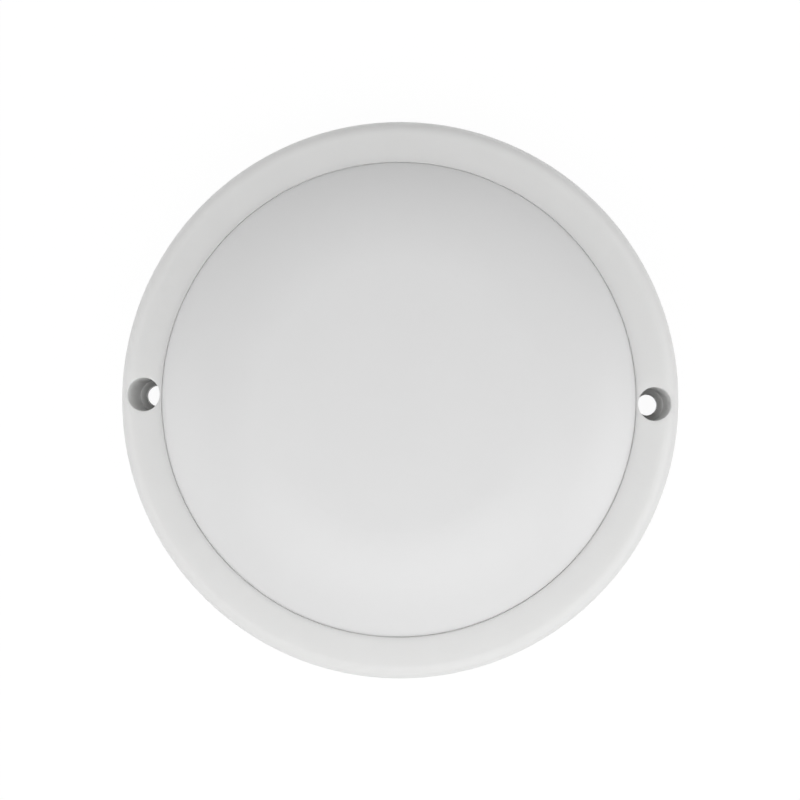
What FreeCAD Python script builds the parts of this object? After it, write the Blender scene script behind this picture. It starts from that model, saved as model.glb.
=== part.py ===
import FreeCAD, Part
import math
import os
from FreeCAD import Vector

# A round surface light for a soffit, wall or ceiling, in millimetres.
# Frame: Z = 0 is the surface that it screws to, +Z points out through the diffuser,
# the two screw holes lie on X, and the light's axis is the Z axis.

os.makedirs("parts", exist_ok=True)

ORIGIN = Vector(0, 0, 0)
AXIS = Vector(0, 0, 1)
TOUCH = 0.01               # finer than any real gap, to find edges by their place
PAST = 1.0                 # a cutter runs this far past the face that it opens
FILLET_ROOM = 0.9          # share of the room beside an edge that its fillet may take

# --- Housing: rim, skirt and screw wells ---------------------------------------------
screw_pitch = 140.0        # between the two fixing screws
screw_hole_r = 2.95        # clears a 5 mm wood screw
screw_well_r = 4.6         # deep counterbore for its head
screw_seat = 3.0           # floor of the well, above the wall
well_web = 0.5             # wall left between a well and the diffuser's bore
well_boss_wall = 1.9
well_mouth_round = 0.2
rim_beyond_screws = 7.5    # from a screw's axis to the widest ring
rim_z = 26.0               # front of the rim, at the diffuser's bore
rim_fall = 8.0             # degrees by which the face of the rim falls away outwards
edge_round = 3.6           # outer corner of the rim
edge_turn = 68.0           # degrees of that corner, before the side takes over
side_round = 22.0          # gentle curve from the corner to the widest ring
side_tuck = 3.1            # how far the skirt draws in from the widest ring to the wall
shell_wall = 2.2
bore_wall = 2.0
mouth_round = 0.3          # broken edge of the diffuser's bore

# --- Housing: tray, floor and ribs -----------------------------------------------------
skirt_depth = 8.0          # the diffuser's skirt, below the front of the rim
ring_width = 2.6           # sealing ring, across
ring_height = 2.0
ring_stand = 0.5           # how far the ring stands above its ledge
ring_gap = 0.1
ledge_lip = 1.5            # upstand inside the sealing ring
ledge_floor = 2.2          # under the sealing ring
tray_wall = 2.2
tray_foot_z = 0.6
floor_back_z = 2.4         # the floor stands clear of the wall
floor_thickness = 2.2
rib_count = 24
rib_thickness = 1.4
rib_foot_z = 1.0
stiffener_count = 12
hub_ring_r = 27.0          # round rib under the floor

# --- Diffuser ---------------------------------------------------------------------------
seam_gap = 0.08            # a close fit in the bore keeps rain and insects out
diffuser_wall = 2.0
crown_r = 600.0            # nearly flat middle of the dome
crown_edge_r = 36.0        # where the shoulder takes over
shoulder_round = 48.0
lip_round = 0.15           # broken edge of the dome
lip_below_rim = 0.15
tongue_count = 6
first_tongue = 30.0        # degrees from +X
tongue_sweep = 9.0         # degrees
tongue_wall = 1.5
tongue_gap = 0.3
bead_gap = 0.05            # the tongue's bead slides along the tray's wall
tongue_tip_gap = 1.0       # over the pan
bead_height = 2.0
bead_above_tip = 1.5
pocket_depth = 0.7
pocket_margin = 0.4        # over and under the bead
pocket_side = 1.0          # degrees on both sides of the bead

# --- Carrier stack: posts, pan, pad and board -------------------------------------------
post_height = 5.4          # above the tray's floor
post_r = 3.5
post_count = 4
first_post = 45.0          # degrees from +X
post_pitch_inset = 10.0    # the posts stand this far inside the board's edge
pan_thickness = 1.0
pan_bend = 2.0
pan_flange = 4.0
pan_edge_gap = 0.5         # inside the diffuser's tongues
pad_thickness = 0.4
board_thickness = 1.6
board_edge_gap = 1.2       # inside the pan's edge
board_hole_r = 25.0        # open middle, over the terminals
pad_inset = 1.0
pan_hole_inset = 1.0       # the pan's middle is open a little less than the board's

# --- Fasteners ---------------------------------------------------------------------------
board_screw_r = 1.45
board_screw_head_r = 2.75
board_screw_head = 1.9
fit_gap = 0.05             # round a screw in its plastic or threaded hole
clear_gap = 0.25           # round a screw in a plate
blind_web = 0.6            # left under a blind hole
drive_slot = 0.7
drive_depth = 0.9
cross_reach = 1.3          # length of the cross, in head radii

# --- LEDs --------------------------------------------------------------------------------
led_length = 3.5
led_width = 2.8
led_height = 0.8
led_border = 0.32
led_pocket = 0.25
led_fill = 0.2
led_play = 0.02
outer_led_count = 24
inner_led_count = 16
led_edge_inset = 5.0       # outer ring of LEDs, inside the board's edge
led_ring_step = 10.0       # from the outer ring to the inner one

# --- Parts on the board --------------------------------------------------------------------
part_ring_r = 31.0         # the parts sit on this ring, inside the LEDs
chip_length = 4.9
chip_width = 3.9
chip_height = 1.5
chip_pitch = 1.27
chip_pins = 4              # on each side
pin_width = 0.4
pin_reach = 1.0
pin_thickness = 0.2
pin_rise = 0.8
bridge_length = 4.7
bridge_width = 4.0
bridge_height = 2.4
bridge_pitch = 2.5
bridge_pins = 2            # on each side
varistor_r = 3.8
varistor_thickness = 3.4
varistor_stand = 1.2
fuse_r = 1.6
fuse_length = 7.0
fuse_neck_r = 1.35
fuse_cap = 1.75            # its swollen ends
capacitor_r = 4.0
capacitor_length = 11.0
can_groove = 2.6           # from the end with the legs to the crimp
can_groove_depth = 0.5
sleeve_wall = 0.15
sleeve_short = 0.6         # the can stands out of its sleeve at both ends
leg_r = 0.3
leg_reach = 1.6
resistor_length = 3.2
resistor_width = 1.6
resistor_height = 0.6
chip_angles = (145.0, 35.0)          # places on the ring, in degrees from +X
resistor_angles = (62.0, 73.0, 84.0, 96.0, 107.0, 118.0, 168.0, 178.0)
bridge_angle = 205.0
varistor_angle = 237.0
fuse_angle = 300.0
capacitor_angle = 335.0
connector_width = 9.0
connector_depth = 8.0
connector_height = 4.8
connector_round = 0.5
connector_entry_r = 1.35
connector_entry = 6.4      # depth of its wire entries
connector_inset = 2.0      # its mouth, inside the ring of parts
connector_tail = 1.6
connector_tail_height = 0.4
release_slot = 1.6
release_depth = 0.8

# --- Mains terminal and leads -----------------------------------------------------------------
terminal_y = -12.0
terminal_width = 22.0
terminal_depth = 15.0
terminal_height = 9.0
terminal_round = 0.8
turret_r = 3.3
turret_height = 4.5
pole_pitch = 11.0
clamp_pitch = 7.2          # between the two screws of a pole
clamp_r = 2.2
clamp_bore_r = 1.5
clamp_length = 12.5
clamp_screw_r = 1.2
clamp_head_r = 1.7
clamp_head = 1.6
clamp_screw_length = 3.2
wire_above_base = 4.5      # the wires enter the block level with the board's face
lead_r = 1.0
lead_core_r = 0.7
core_length = 5.0
connector_wire_height = 2.3
lead_seat = 0.5            # the insulation reaches this far into both
lead_run = 2.8             # straight run out of the terminal and into the connector
bend_share = 0.45          # of the shorter run beside a corner of a wire, taken by its bend

# --- Cable inlet --------------------------------------------------------------------------------
inlet_y = 13.0
inlet_bore_r = 4.0
grommet_neck_r = 7.5
grommet_flange_r = 9.8
grommet_back = 2.0
grommet_front = 2.0
grommet_nose = 4.5
grommet_nose_wall = 1.4
grommet_fit = 0.05

# --- Places that follow from the sizes above --------------------------------------------------
screw_x = screw_pitch / 2
outer_r = screw_x + rim_beyond_screws
bore_r = screw_x - screw_well_r - well_web
turn = math.radians(edge_turn)
fall = math.radians(rim_fall)
rim_flat_r = outer_r - edge_round * math.sin(turn) - side_round * (1 - math.sin(turn))


def under_rim(radius, depth):
    """A point under the sloping face of the rim, by a depth square to that face."""
    return (radius, rim_z - (radius - bore_r) * math.tan(fall) - depth / math.cos(fall))


mouth_centre = under_rim(bore_r + mouth_round, mouth_round)
corner_centre = under_rim(rim_flat_r, edge_round)
side_centre = (outer_r - side_round,
               corner_centre[1] - (side_round - edge_round) * math.cos(turn))
widest_z = side_centre[1]
tuck_round = (side_tuck ** 2 + widest_z ** 2) / (2 * side_tuck)
tuck_centre = (outer_r - tuck_round, widest_z)

skirt_foot_z = rim_z - skirt_depth
ring_floor_z = skirt_foot_z - ring_height
ledge_z = skirt_foot_z - ring_stand
ledge_back_z = ring_floor_z - ledge_floor
ring_outer_r = bore_r - ring_gap
ring_inner_r = ring_outer_r - ring_width
groove_inner_r = ring_inner_r - ring_gap
tray_r = groove_inner_r - ledge_lip
floor_z = floor_back_z + floor_thickness

tongue_outer_r = tray_r - tongue_gap
tongue_inner_r = tongue_outer_r - tongue_wall
post_top_z = floor_z + post_height
pan_z = post_top_z + pan_thickness
pad_z = pan_z + pad_thickness
board_z = pad_z + board_thickness
tongue_tip_z = pan_z + tongue_tip_gap
bead_z = tongue_tip_z + bead_above_tip
pan_r = tongue_inner_r - pan_edge_gap
board_r = pan_r - board_edge_gap
post_ring_r = board_r - post_pitch_inset
outer_led_r = board_r - led_edge_inset
inner_led_r = outer_led_r - led_ring_step
pan_hole_r = board_hole_r - pan_hole_inset
screw_tip_z = floor_z + blind_web

wire_z = board_z
pedestal_z = wire_z - wire_above_base
terminal_top_z = pedestal_z + terminal_height
turret_top_z = terminal_top_z + turret_height
terminal_face_y = terminal_y - terminal_depth / 2
connector_y = connector_inset - part_ring_r
connector_wire_z = board_z + connector_wire_height


# --- Shapes used again and again ------------------------------------------------------------------
def on_circle(centre, radius, tilt):
    """A point of a circle in the r-Z plane, with tilt in degrees from +Z towards +r."""
    t = math.radians(tilt)
    return (centre[0] + radius * math.sin(t), centre[1] + radius * math.cos(t))


def arc(centre, radius, start, end):
    """An arc as a profile step: its middle and its end."""
    return on_circle(centre, radius, (start + end) / 2), on_circle(centre, radius, end)


def profile(start, *steps):
    """A closed face in the r-Z plane. A step is a corner (r, z) or an arc (middle, end)."""
    edges = []
    here = start
    for step in steps + (start,):
        end = step
        if isinstance(step[0], tuple):
            middle, end = step
            points = [Vector(r, 0, z) for r, z in (here, middle, end)]
            edges.append(Part.Arc(*points).toShape())
        else:
            edges.append(Part.makeLine(Vector(here[0], 0, here[1]), Vector(end[0], 0, end[1])))
        here = end
    return Part.Face(Part.Wire(edges))


def turned(start, *steps):
    """A profile turned all the way round the light's axis."""
    return profile(start, *steps).revolve(ORIGIN, AXIS, 360)


def post(radius, low, high, x=0.0, y=0.0):
    """An upright cylinder from one height to another."""
    return Part.makeCylinder(radius, high - low, Vector(x, y, low))


def block(length, width, low, high, x=0.0, y=0.0):
    """An upright box centred on x and y."""
    return Part.makeBox(length, width, high - low, Vector(x - length / 2, y - width / 2, low))


def washer(outer, inner, low, high):
    """A flat ring round the light's axis."""
    return post(outer, low, high).cut(post(inner, low - PAST, high + PAST))


def moved(shape, x=0.0, y=0.0, z=0.0, angle=0.0):
    """A copy that is moved, and then turned about the light's axis."""
    copy = shape.copy()
    copy.translate(Vector(x, y, z))
    copy.rotate(ORIGIN, AXIS, angle)
    return copy


def around(shape, count, first=0.0):
    """Copies of a shape, evenly spaced about the light's axis."""
    return [moved(shape, angle=first + 360.0 * k / count) for k in range(count)]


def bent_wire(points, wire_r):
    """Round wire along straight runs that are joined by tangent arcs."""
    points = [Vector(*p) for p in points]
    edges = []
    here = points[0]
    for before, corner, after in zip(points, points[1:], points[2:]):
        back = (before - corner).normalize()
        on = (after - corner).normalize()
        setback = bend_share * min((before - corner).Length, (after - corner).Length)
        half_turn = (math.pi - back.getAngle(on)) / 2
        bend_r = setback / math.tan(half_turn)
        middle = corner + (back + on).normalize() * (bend_r / math.cos(half_turn) - bend_r)
        start = corner + back * setback
        end = corner + on * setback
        edges.append(Part.makeLine(here, start))
        edges.append(Part.Arc(start, middle, end).toShape())
        here = end
    edges.append(Part.makeLine(here, points[-1]))
    section = Part.Wire(Part.makeCircle(wire_r, points[0], points[1] - points[0]))
    return Part.Wire(edges).makePipeShell([section], True, False)


def edges_above(shape, height):
    """The edges of a shape that lie wholly above a height."""
    return [e for e in shape.Edges if e.BoundBox.ZMin > height]


def save(node, *solids):
    """Write one node from its solids."""
    Part.makeCompound(list(solids)).exportStep("parts/%s.step" % node)
    for solid in solids:
        print(node, solid.isValid(), len(solid.Solids), round(solid.Volume, 2))


# --- Housing -------------------------------------------------------------------------------------
def skirt_inside(inset, foot_z):
    """Profile steps down the inside of the skirt, an inset below its outer face."""
    radius = tuck_round - inset
    foot_tilt = 90 + math.degrees(math.asin((widest_z - foot_z) / radius))
    return (under_rim(rim_flat_r, inset), (outer_r - inset, widest_z),
            arc(tuck_centre, radius, 90, foot_tilt))


def skirt_outside():
    """Profile steps up the outside of the skirt and round the edge of the rim."""
    back_tilt = 90 + math.degrees(math.asin(widest_z / tuck_round))
    return ((outer_r - side_tuck, 0.0), arc(tuck_centre, tuck_round, back_tilt, 90),
            arc(side_centre, side_round, 90, edge_turn),
            arc(corner_centre, edge_round, edge_turn, rim_fall))


def behind_rim(foot_z):
    """The space behind the rim, half a wall deep into what bounds it, for ribs and bosses."""
    tray_side = tray_r + tray_wall / 2
    bore_side = bore_r + bore_wall / 2
    step_z = ring_floor_z - ledge_floor / 2
    return turned((tray_side, foot_z), (tray_side, step_z), (bore_side, step_z),
                  under_rim(bore_side, shell_wall / 2), *skirt_inside(shell_wall / 2, foot_z))


def base_housing():
    """Moulding with a rim, an outer skirt, a tray, ribs behind the rim and two screw wells."""
    shell = turned(
        (0, floor_back_z), (tray_r, floor_back_z), (tray_r, tray_foot_z),
        (tray_r + tray_wall, tray_foot_z), (tray_r + tray_wall, ledge_back_z),
        (bore_r + bore_wall, ledge_back_z), under_rim(bore_r + bore_wall, shell_wall),
        *skirt_inside(shell_wall, 0.0), *skirt_outside(),
        on_circle(mouth_centre, mouth_round, rim_fall), arc(mouth_centre, mouth_round, rim_fall, -90),
        (bore_r, ring_floor_z), (groove_inner_r, ring_floor_z), (groove_inner_r, ledge_z),
        (tray_r, ledge_z), (tray_r, floor_z), (0, floor_z))

    rib = block(outer_r, rib_thickness, 0, rim_z, x=outer_r)
    ribs = behind_rim(rib_foot_z).common(Part.makeCompound(around(rib, rib_count, 180 / rib_count)))

    boss_r = screw_well_r + well_boss_wall
    boss = post(boss_r, 0, rim_z, x=screw_x)
    boss = boss.fuse(block(boss_r * 2, boss_r * 2, 0, rim_z, x=screw_x - boss_r))
    bosses = behind_rim(0.0).common(Part.makeCompound(around(boss, 2)))

    stiffener = block(tray_r - hub_ring_r, rib_thickness, rib_foot_z, floor_back_z + tray_foot_z,
                      x=(tray_r + hub_ring_r) / 2)
    hub_ring = washer(hub_ring_r + rib_thickness, hub_ring_r, rib_foot_z, floor_back_z + tray_foot_z)

    stand = post(post_r, floor_z - blind_web, post_top_z, x=post_ring_r)
    pedestal = block(terminal_width, terminal_depth, floor_z - blind_web, pedestal_z, y=terminal_y)

    body = shell.multiFuse(ribs.Solids + bosses.Solids + [hub_ring, pedestal]
                           + around(stiffener, stiffener_count)
                           + around(stand, post_count, first_post))

    well = post(screw_well_r, screw_seat, rim_z + PAST, x=screw_x)
    well = well.fuse(post(screw_hole_r, -PAST, screw_seat + PAST, x=screw_x))
    pilot = post(board_screw_r + fit_gap, screw_tip_z, post_top_z + PAST, x=post_ring_r)
    terminal_pilot = post(board_screw_r + fit_gap, screw_tip_z, pedestal_z + PAST, y=terminal_y)
    inlet = post(grommet_neck_r + grommet_fit, floor_back_z - PAST, floor_z + PAST, y=inlet_y)
    low = bead_z - bead_height / 2 - pocket_margin
    high = bead_z + bead_height / 2 + pocket_margin
    pocket = profile((tray_r - PAST, low), (tray_r + pocket_depth, low),
                     (tray_r + pocket_depth, high), (tray_r - PAST, high))
    pocket = pocket.revolve(ORIGIN, AXIS, tongue_sweep + 2 * pocket_side)
    pockets = around(pocket, tongue_count, first_tongue - tongue_sweep / 2 - pocket_side)
    body = body.cut(Part.makeCompound(around(well, 2) + around(pilot, post_count, first_post)
                                      + pockets + [terminal_pilot, inlet]))

    mouths = [e for e in body.Edges if e.BoundBox.ZMin > corner_centre[1]
              and abs(e.BoundBox.YLength - 2 * screw_well_r) < TOUCH]
    return body.makeFillet(min(well_mouth_round, (well_web - mouth_round) * FILLET_ROOM), mouths)


# --- Diffuser -------------------------------------------------------------------------------------
def diffuser():
    """Opal dome with a skirt that stands on the sealing ring, and snap tongues inside it."""
    skirt_r = bore_r - seam_gap
    skirt_inner_r = skirt_r - diffuser_wall
    lip_z = rim_z - lip_below_rim

    crown_tilt = math.degrees(math.asin(crown_edge_r / crown_r))
    shoulder_r = crown_edge_r * (1 - shoulder_round / crown_r)     # radius of its centre
    lip_tilt = math.degrees(math.asin((skirt_r - lip_round - shoulder_r)
                                      / (shoulder_round - lip_round)))
    lip_centre = (skirt_r - lip_round, lip_z - lip_round)
    shoulder_z = lip_centre[1] - (shoulder_round - lip_round) * math.cos(math.radians(lip_tilt))
    crown_z = shoulder_z - (crown_r - shoulder_round) * math.cos(math.radians(crown_tilt))
    shoulder = (shoulder_r, shoulder_z)
    crown = (0.0, crown_z)

    inner_tilt = math.degrees(math.asin((skirt_inner_r - shoulder_r)
                                        / (shoulder_round - diffuser_wall)))
    dome = turned(
        (0.0, crown_z + crown_r), arc(crown, crown_r, 0, crown_tilt),
        arc(shoulder, shoulder_round, crown_tilt, lip_tilt),
        arc(lip_centre, lip_round, lip_tilt, 90),
        (skirt_r, skirt_foot_z), (skirt_inner_r, skirt_foot_z),
        on_circle(shoulder, shoulder_round - diffuser_wall, inner_tilt),
        arc(shoulder, shoulder_round - diffuser_wall, inner_tilt, crown_tilt),
        arc(crown, crown_r - diffuser_wall, crown_tilt, 0))

    root_r = skirt_inner_r + diffuser_wall / 2
    half_bead = bead_height / 2
    tongue = profile(
        (root_r, skirt_foot_z), (tongue_outer_r, skirt_foot_z), (tongue_outer_r, bead_z + half_bead),
        ((tray_r - bead_gap, bead_z), (tongue_outer_r, bead_z - half_bead)),
        (tongue_outer_r, tongue_tip_z), (tongue_inner_r, tongue_tip_z),
        (tongue_inner_r, skirt_foot_z + tongue_wall), (root_r, skirt_foot_z + 2 * tongue_wall))
    tongue = tongue.revolve(ORIGIN, AXIS, tongue_sweep)
    return dome.multiFuse(around(tongue, tongue_count, first_tongue - tongue_sweep / 2))


def sealing_ring():
    """Silicone ring in its groove, with broken top edges."""
    edge = ring_stand
    return turned(
        (ring_inner_r, ring_floor_z), (ring_outer_r, ring_floor_z),
        (ring_outer_r, skirt_foot_z - edge),
        arc((ring_outer_r - edge, skirt_foot_z - edge), edge, 90, 0),
        (ring_inner_r + edge, skirt_foot_z),
        arc((ring_inner_r + edge, skirt_foot_z - edge), edge, 0, -90))


def inlet_grommet():
    """Rubber cable inlet that buttons into the floor, with a soft nose inside."""
    back_z = floor_back_z - grommet_back
    front_z = floor_z + grommet_front
    nose_r = inlet_bore_r + grommet_nose_wall
    shape = turned(
        (inlet_bore_r, back_z), (grommet_flange_r, back_z), (grommet_flange_r, floor_back_z),
        (grommet_neck_r, floor_back_z), (grommet_neck_r, floor_z),
        (grommet_flange_r - grommet_front / 2, floor_z), (grommet_neck_r, front_z),
        (nose_r, front_z + grommet_nose), (inlet_bore_r, front_z + grommet_nose))
    return moved(shape, y=inlet_y)


# --- Carrier stack ----------------------------------------------------------------------------------
def screw_holes(low, high):
    """Clearance holes for the board screws."""
    hole = post(board_screw_r + clear_gap, low - PAST, high + PAST, x=post_ring_r)
    return Part.makeCompound(around(hole, post_count, first_post))


def heat_spreader():
    """Pressed aluminium pan with a turned-down flange."""
    bend_centre = (pan_r - pan_bend, pan_z - pan_bend)
    flange_z = pan_z - pan_flange
    shape = turned(
        (pan_hole_r, post_top_z), (pan_hole_r, pan_z), (pan_r - pan_bend, pan_z),
        arc(bend_centre, pan_bend, 0, 90), (pan_r, flange_z), (pan_r - pan_thickness, flange_z),
        (pan_r - pan_thickness, pan_z - pan_bend),
        arc(bend_centre, pan_bend - pan_thickness, 90, 0))
    return shape.cut(screw_holes(post_top_z, pan_z))


def thermal_pad():
    """Silicone sheet between the pan and the board."""
    sheet = washer(board_r - pad_inset, board_hole_r + pad_inset, pan_z, pad_z)
    return sheet.cut(screw_holes(pan_z, pad_z))


def led_board():
    """Ring board with an aluminium core and a white face."""
    ring = washer(board_r, board_hole_r, pad_z, board_z)
    return ring.cut(screw_holes(pad_z, board_z))


def screw(head_r, head, shank_r, tip_z, seat_z, cross=True):
    """Pan-head screw on the axis, with a cross or a slot."""
    shape = post(shank_r, tip_z, seat_z + head / 2).fuse(post(head_r, seat_z, seat_z + head))
    shape = shape.makeFillet(head / 3, edges_above(shape, seat_z + head - TOUCH))
    depth = min(drive_depth, head / 2)
    reach = head_r * cross_reach if cross else 2 * (head_r + PAST)
    slot = block(reach, drive_slot, seat_z + head - depth, seat_z + head + PAST)
    shape = shape.cut(slot)
    if cross:
        slot.rotate(ORIGIN, AXIS, 90)
        shape = shape.cut(slot)
    return shape


def board_screws():
    """They hold the board, the pad and the pan on the housing's posts."""
    shape = screw(board_screw_head_r, board_screw_head, board_screw_r, screw_tip_z + fit_gap, board_z)
    return around(moved(shape, x=post_ring_r), post_count, first_post)


# --- LEDs --------------------------------------------------------------------------------------------
def in_both_rings(shape):
    """Copies of an LED part in the outer and the inner ring."""
    outer = moved(shape, x=outer_led_r)
    inner = moved(shape, x=inner_led_r)
    return (around(outer, outer_led_count, 180 / outer_led_count)
            + around(inner, inner_led_count, 180 / inner_led_count))


def led_packages():
    """White LED bodies with a shallow pocket."""
    top = board_z + led_height
    body = block(led_width, led_length, board_z, top)
    pocket = block(led_width - 2 * led_border, led_length - 2 * led_border,
                   top - led_pocket, top + PAST)
    return in_both_rings(body.cut(pocket))


def led_phosphors():
    """Yellow fill of the LED pockets."""
    low = board_z + led_height - led_pocket
    play = 2 * (led_border + led_play)
    return in_both_rings(block(led_width - play, led_length - play, low, low + led_fill))


# --- Parts on the board --------------------------------------------------------------------------------
def gull_pin(body_side):
    """One bent leg that stands on the board beside a chip; it reaches out along +X."""
    knee_z = board_z + pin_rise
    out = body_side + pin_reach
    middle = body_side + pin_reach / 2
    t = pin_thickness
    face = profile((body_side, knee_z), (body_side, knee_z + t), (middle + t / 2, knee_z + t),
                   (middle + t / 2, board_z + t), (out, board_z + t), (out, board_z),
                   (middle - t / 2, board_z), (middle - t / 2, knee_z))
    pin = face.extrude(Vector(0, pin_width, 0))
    pin.translate(Vector(0, -pin_width / 2, 0))
    return pin


def pin_rows(body_width, pitch, per_side):
    """Two rows of legs, one on each side of a chip that lies across X."""
    pin = gull_pin(body_width / 2)
    row = [moved(pin, y=(k - (per_side - 1) / 2) * pitch) for k in range(per_side)]
    return row + [moved(p, angle=180) for p in row]


def on_board(shapes, angle):
    """Shapes made about the Z axis, set on the ring of parts at an angle."""
    return [moved(s, x=part_ring_r, angle=angle) for s in shapes]


def moulded_package(width, length, height):
    """Body of a chip, just off the board, with its top edges chamfered."""
    top = board_z + height
    body = block(width, length, board_z + pin_thickness, top)
    return body.makeChamfer(pin_thickness, edges_above(body, top - TOUCH))


def driver_chips():
    """Two linear driver chips."""
    body = moulded_package(chip_width, chip_length, chip_height)
    return [s for a in chip_angles for s in on_board([body], a)]


def bridge_rectifier():
    """Moulded bridge rectifier."""
    return on_board([moulded_package(bridge_width, bridge_length, bridge_height)], bridge_angle)


def component_pins():
    """Bent legs of the chips and of the rectifier."""
    pins = []
    for angle in chip_angles:
        pins += on_board(pin_rows(chip_width, chip_pitch, chip_pins), angle)
    return pins + on_board(pin_rows(bridge_width, bridge_pitch, bridge_pins), bridge_angle)


def varistor():
    """Upright surge disc."""
    centre_z = board_z + varistor_stand + varistor_r
    disc = Part.makeCylinder(varistor_r, varistor_thickness,
                             Vector(-varistor_thickness / 2, 0, centre_z), Vector(1, 0, 0))
    rims = [e for e in disc.Edges if e.BoundBox.YLength > varistor_r]
    disc = disc.makeFillet(varistor_thickness / 3, rims)
    return on_board([disc], varistor_angle)


def end_rims(shape, half):
    """The round edges at both ends of a body that is turned about Z, centred on zero."""
    return [e for e in shape.Edges
            if e.BoundBox.ZLength < TOUCH and abs(e.BoundBox.ZMin) > half - TOUCH]


def fuse_resistor():
    """Round fusible resistor with swollen ends, lying along the ring."""
    half = fuse_length / 2
    cap = half - fuse_cap
    neck = cap - (fuse_r - fuse_neck_r)
    body = turned((0, -half), (fuse_r, -half), (fuse_r, -cap), (fuse_neck_r, -neck),
                  (fuse_neck_r, neck), (fuse_r, cap), (fuse_r, half), (0, half))
    body = body.makeFillet(fuse_r / 3, end_rims(body, half))
    body.rotate(ORIGIN, Vector(1, 0, 0), 90)
    return on_board([moved(body, z=board_z + fuse_r + pin_thickness)], fuse_angle)


def filter_capacitor():
    """Aluminium can that lies along the ring, with a groove near its seal."""
    half = capacitor_length / 2
    can_r = capacitor_r - sleeve_wall
    groove = half - can_groove
    body = turned((0, -half), (can_r, -half), (can_r, groove - can_groove_depth),
                  (can_r - can_groove_depth, groove), (can_r, groove + can_groove_depth),
                  (can_r, half), (0, half))
    body = body.makeFillet(can_groove_depth, end_rims(body, half))
    body.rotate(ORIGIN, Vector(1, 0, 0), 90)
    return on_board([moved(body, z=board_z + capacitor_r)], capacitor_angle)


def capacitor_sleeve():
    """Thin plastic sleeve on the can."""
    half = capacitor_length / 2 - sleeve_short
    tube = post(capacitor_r, -half, half).cut(post(capacitor_r - sleeve_wall, -2 * half, 2 * half))
    tube.rotate(ORIGIN, Vector(1, 0, 0), 90)
    return on_board([moved(tube, z=board_z + capacitor_r)], capacitor_angle)


def component_legs():
    """Wire legs of the varistor, the fusible resistor and the capacitor."""
    disc_rise = varistor_r - math.sqrt(varistor_r ** 2 - (leg_reach - leg_r) ** 2)
    varistor_leg = post(leg_r, board_z, board_z + varistor_stand + disc_rise)
    legs = on_board([moved(varistor_leg, y=y) for y in (-leg_reach, leg_reach)], varistor_angle)
    fuse_axis_z = board_z + fuse_r + pin_thickness
    fuse_leg = bent_wire([(0, fuse_length / 2, fuse_axis_z),
                          (0, fuse_length / 2 + leg_reach, fuse_axis_z),
                          (0, fuse_length / 2 + leg_reach, board_z)], leg_r)
    legs += on_board([fuse_leg, moved(fuse_leg, angle=180)], fuse_angle)
    end = capacitor_length / 2
    capacitor_leg = bent_wire([(0, end, board_z + capacitor_r), (0, end + leg_reach, board_z + capacitor_r),
                               (0, end + leg_reach, board_z)], leg_r)
    legs += on_board([moved(capacitor_leg, x=x) for x in (-leg_reach, leg_reach)], capacitor_angle)
    return legs


def chip_resistors():
    """Flat chip resistors between the driver chips."""
    body = block(resistor_width, resistor_length, board_z, board_z + resistor_height)
    return [s for a in resistor_angles for s in on_board([body], a)]


def connector_poles(shape):
    """A shape made on the Y axis, moved to both poles of the board connector."""
    return [moved(shape, x=x) for x in (-connector_width / 4, connector_width / 4)]


def board_connector():
    """Two-way push-in terminal on the board, with its mouths towards the middle."""
    body = block(connector_width, connector_depth, board_z, board_z + connector_height,
                 y=connector_y - connector_depth / 2)
    body = body.makeFillet(connector_round, edges_above(body, board_z + TOUCH))
    mouth = Part.makeCylinder(connector_entry_r, connector_entry,
                              Vector(0, connector_y, connector_wire_z), Vector(0, -1, 0))
    top = board_z + connector_height
    release = block(release_slot, release_slot, top - release_depth, top + PAST,
                    y=connector_y - connector_entry + release_slot / 2)
    return body.cut(Part.makeCompound(connector_poles(mouth) + connector_poles(release)))


def connector_contacts():
    """Solder tails of the connector's contacts, on the board behind it."""
    tail = block(release_slot, connector_tail, board_z, board_z + connector_tail_height,
                 y=connector_y - connector_depth - connector_tail / 2)
    return connector_poles(tail)


# --- Mains terminal and leads ------------------------------------------------------------------------------
def terminal_poles(shape):
    """A shape made on the Y axis, moved to both poles of the terminal block."""
    return [moved(shape, x=x, y=terminal_y) for x in (-pole_pitch / 2, pole_pitch / 2)]


def terminal_block():
    """Two-pole nylon block with screw turrets and a fixing hole between the poles."""
    body = block(terminal_width, terminal_depth, pedestal_z, terminal_top_z)
    corners = [e for e in body.Edges if e.BoundBox.ZMax > terminal_top_z - TOUCH]
    body = body.makeFillet(terminal_round, corners)
    body.translate(Vector(0, terminal_y, 0))
    offsets = (-clamp_pitch / 2, clamp_pitch / 2)
    turrets = [t for y in offsets for t in terminal_poles(post(turret_r, wire_z, turret_top_z, y=y))]
    body = body.multiFuse(turrets)
    bore = Part.makeCylinder(clamp_r + fit_gap, terminal_depth + 2 * PAST,
                             Vector(0, -terminal_depth / 2 - PAST, wire_z), Vector(0, 1, 0))
    shaft_r = clamp_head_r + fit_gap
    shaft = [post(shaft_r, wire_z, turret_top_z + PAST, y=y) for y in offsets]
    shafts = [s for one in shaft for s in terminal_poles(one)]
    fixing = post(board_screw_r + clear_gap, pedestal_z - PAST, terminal_top_z + PAST, y=terminal_y)
    recess = post(board_screw_head_r + clear_gap, wire_z + clamp_r, terminal_top_z + PAST, y=terminal_y)
    return body.cut(Part.makeCompound(terminal_poles(bore) + shafts + [fixing, recess]))


def terminal_clamps():
    """Brass barrels that take the wires."""
    start = Vector(0, -clamp_length / 2, wire_z)
    barrel = Part.makeCylinder(clamp_r, clamp_length, start, Vector(0, 1, 0))
    barrel = barrel.cut(Part.makeCylinder(clamp_bore_r, clamp_length, start, Vector(0, 1, 0)))
    for y in (-clamp_pitch / 2, clamp_pitch / 2):
        barrel = barrel.cut(post(clamp_screw_r + fit_gap, wire_z, wire_z + clamp_r + PAST, y=y))
    return terminal_poles(barrel)


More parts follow.
